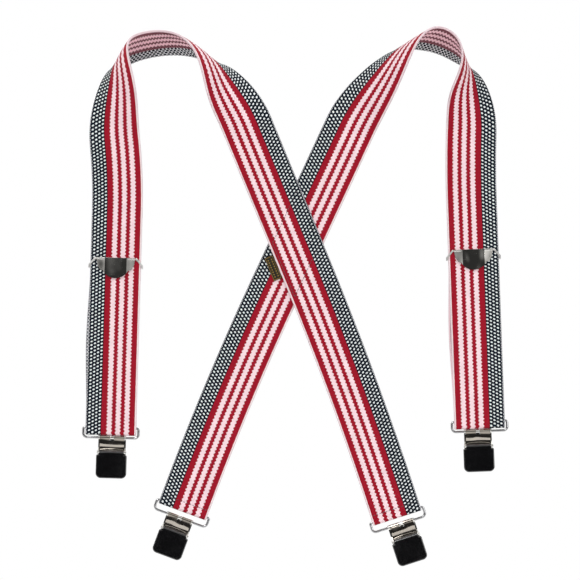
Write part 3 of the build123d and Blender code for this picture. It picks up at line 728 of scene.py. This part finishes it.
left_way = inner_direction(LEFT_STRAP, 1)
right_way = inner_direction(RIGHT_STRAP, -1)
reach = (WEB_WIDTH / 2 - DIAMOND_INSET) / sin(left_way.angle(right_way))
diamond = ((1, 1), (1, -1), (-1, -1), (-1, 1))
corners = [left_way * (reach * a) + right_way * (reach * b) for a, b in diamond]
rows = []
for index in range(4):
    start, end = corners[index], corners[(index + 1) % 4]
    rows += stitch_row(start, end, -AWAY)
    behind = AWAY * (REAR_LAYER + WEB_THICK / 2)
    rows += stitch_row(start + behind, end + behind, AWAY)
stitches = thread("crossing_stitches", rows, dark_thread)
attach(stitches, "webbing")
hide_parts("crossing_stitching")


def label():
    """Folded woven tab whose free edge lifts a little."""
    width, length = LABEL_WIDTH, LABEL_LENGTH
    down = left_way
    side = Vector((down.z, 0, -down.x)) * -1
    if side.x > 0:
        side = -side
    start = side * (WEB_WIDTH / 2 + LABEL_GAP) + down * (LABEL_ALONG - length / 2)
    face = REAR_LAYER - WEB_THICK / 2 - 0.05
    columns, rows_count = 10, 24
    points, faces, slots, uvs = [], [], [], []
    for y in (-LABEL_THICK, 0.0):
        for row in range(rows_count + 1):
            for column in range(columns + 1):
                a, b = column / columns, row / rows_count
                lift = 0.35 * a**3 * (0.6 + 0.4 * sin(pi * b))
                spot = start + side * (width * a) + down * (length * b)
                points.append(Vector((spot.x, face + y - lift, spot.z)))
    ring = columns + 1
    size = ring * (rows_count + 1)

    def quad(indices, coordinates):
        faces.append(indices)
        slots.append(0)
        uvs.extend([(u * UV_SCALE, v * UV_SCALE) for u, v in coordinates])

    for row in range(rows_count):
        for column in range(columns):
            spots = [(row, column), (row, column + 1), (row + 1, column + 1), (row + 1, column)]
            at = [(width * c / columns, length * r / rows_count) for r, c in spots]
            quad([r * ring + c for r, c in spots], at)
            quad([size + r * ring + c for r, c in reversed(spots)], at[::-1])
    border = [(0, c) for c in range(ring)] + [(r, columns) for r in range(1, rows_count + 1)]
    border += [(rows_count, c) for c in range(columns - 1, -1, -1)]
    border += [(r, 0) for r in range(rows_count - 1, 0, -1)]
    for index, (r, c) in enumerate(border):
        nr, nc = border[(index + 1) % len(border)]
        first, second = r * ring + c, nr * ring + nc
        quad([second, first, size + first, size + second], [(0.1, length * r / rows_count)] * 4)
    obj = new_mesh("woven_label_tab", points, faces, [label_cloth], slots, uvs)
    obj.data.validate()
    return obj


tab = label()
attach(tab, "webbing")
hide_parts("woven_label")

# ---- metal and plastic from the CAD ----------------------------------------------------------
ROUNDING = 0.14
WIDE_ROUNDING = 0.28
FINISHES = (
    ("_clip_lever", enamel, "black_enamel"),
    ("_pad", pad, "pad"),
    ("_spring", spring_steel, "spring_steel"),
    ("_ring", wire_nickel, "nickel"),
    ("_clip_front_jaw", warm_nickel, "nickel"),
    ("_adjuster_frame", satin_nickel, "nickel"),
    ("", nickel, "nickel"),
)
for name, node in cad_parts.items():
    if node.hide_render:
        continue
    for ending, material, slot_name in FINISHES:
        if name.endswith(ending):
            break
    node.data.materials.clear()
    node.data.materials.append(material)
    node.data.polygons.foreach_set("use_smooth", [True] * len(node.data.polygons))
    node.data.set_sharp_from_angle(angle=radians(32))
    if material is not pad:
        rounded = node.modifiers.new("rounded_edges", "BEVEL")
        rounded.width = (WIDE_ROUNDING if "adjuster_lever" in name else ROUNDING) * MM
        rounded.segments = 2
        rounded.angle_limit = radians(40)

# ---- stage ----------------------------------------------------------------------------------
FLOOR_Z = -0.46
CAMERA_BACK = 4.0
FRAME_WIDTH = 0.58
SENSOR = 36.0
CAMERA_SIDE = -0.0059
CAMERA_HEIGHT = -0.0464

bpy.ops.mesh.primitive_plane_add(size=1.6, location=(0, 0, FLOOR_Z))
floor_plane = bpy.context.object
floor_plane.name = "floor"
floor_plane.data.materials.append(floor_finish())


def softbox(name, place, aim, size, size_y, power):
    data = bpy.data.lights.new(name, "AREA")
    data.shape = "RECTANGLE"
    data.size = size
    data.size_y = size_y
    data.energy = power
    obj = bpy.data.objects.new(name, data)
    bpy.context.scene.collection.objects.link(obj)
    obj.location = place
    obj.rotation_euler = (Vector(aim) - Vector(place)).to_track_quat("-Z", "Y").to_euler()
    return obj


softbox("key", (-0.9, -1.6, 1.2), (0, 0, -0.05), 1.0, 1.0, 27)
softbox("fill", (1.8, -1.1, 0.2), (0, 0, -0.05), 1.2, 1.4, 24)
softbox("low", (0.1, -1.5, -1.3), (0, 0, 0.1), 1.2, 0.6, 12)
softbox("top", (0.0, 0.1, 1.6), (0, 0, 0), 1.6, 1.0, 12)
softbox("back", (0.6, 1.6, 0.6), (0, 0, -0.05), 1.4, 1.2, 10)
softbox("side", (-1.5, 0.1, -0.1), (0, 0, -0.15), 0.4, 1.2, 6)

world = bpy.data.worlds.new("studio")
bpy.context.scene.world = world
world.use_nodes = True
tree = world.node_tree
tree.nodes.clear()
output = tree.nodes.new("ShaderNodeOutputWorld")
seen = tree.nodes.new("ShaderNodeBackground")
seen.inputs[0].default_value = (1, 1, 1, 1)
seen.inputs[1].default_value = 1.0
room = tree.nodes.new("ShaderNodeBackground")
gloss = tree.nodes.new("ShaderNodeBackground")
where = tree.nodes.new("ShaderNodeTexCoord")
split = tree.nodes.new("ShaderNodeSeparateXYZ")
tree.links.new(where.outputs["Generated"], split.inputs[0])


def studio_math(operation, a, b):
    node = tree.nodes.new("ShaderNodeMath")
    node.operation = operation
    for socket, value in zip(node.inputs, (a, b)):
        if isinstance(value, bpy.types.NodeSocket):
            tree.links.new(value, socket)
        else:
            socket.default_value = value
    return node.outputs[0]


def studio_range(value, low, high, to_low, to_high):
    node = tree.nodes.new("ShaderNodeMapRange")
    node.interpolation_type = "SMOOTHSTEP"
    for socket, number in zip(node.inputs, (value, low, high, to_low, to_high)):
        if isinstance(number, bpy.types.NodeSocket):
            tree.links.new(number, socket)
        else:
            socket.default_value = number
    return node.outputs[0]


# plated metal sees two bright panels beside the camera and a bright ceiling between dark gaps;
# everything else sees an even soft room
aside = studio_math("ABSOLUTE", split.outputs[0], 0.0)
panels = studio_math(
    "MULTIPLY", studio_range(aside, 0.08, 0.74, 0, 1), studio_range(aside, 0.62, 0.78, 1, 0.04)
)
panels = studio_math("MULTIPLY", panels, studio_range(split.outputs[1], -0.3, 0.2, 1, 0.25))
ceiling = studio_range(split.outputs[2], 0.30, 0.50, 0, 0.8)
ceiling = studio_math("MULTIPLY", ceiling, studio_range(split.outputs[2], 0.80, 0.95, 1, 0.1))
light = studio_math("ADD", studio_math("MAXIMUM", panels, ceiling), 0.03)
tree.links.new(light, gloss.inputs[1])
even = studio_math("ADD", studio_math("MULTIPLY", split.outputs[2], 0.12), 0.36)
tree.links.new(even, room.inputs[1])
room.inputs[0].default_value = (1, 1, 1, 1)
gloss.inputs[0].default_value = (1, 0.985, 0.965, 1)
ray = tree.nodes.new("ShaderNodeLightPath")
shiny = tree.nodes.new("ShaderNodeMixShader")
tree.links.new(ray.outputs["Is Glossy Ray"], shiny.inputs[0])
tree.links.new(room.outputs[0], shiny.inputs[1])
tree.links.new(gloss.outputs[0], shiny.inputs[2])
choice = tree.nodes.new("ShaderNodeMixShader")
tree.links.new(ray.outputs["Is Camera Ray"], choice.inputs[0])
tree.links.new(shiny.outputs[0], choice.inputs[1])
tree.links.new(seen.outputs[0], choice.inputs[2])
tree.links.new(choice.outputs[0], output.inputs[0])

bpy.context.scene.view_settings.view_transform = "Standard"

camera_data = bpy.data.cameras.new("camera")
camera_data.sensor_width = SENSOR
camera_data.lens = SENSOR * CAMERA_BACK / FRAME_WIDTH
camera = bpy.data.objects.new("camera", camera_data)
bpy.context.scene.collection.objects.link(camera)
camera.location = (CAMERA_SIDE, -CAMERA_BACK, CAMERA_HEIGHT)
camera.rotation_euler = (pi / 2, 0, 0)
camera_data.clip_end = 100
bpy.context.scene.camera = camera
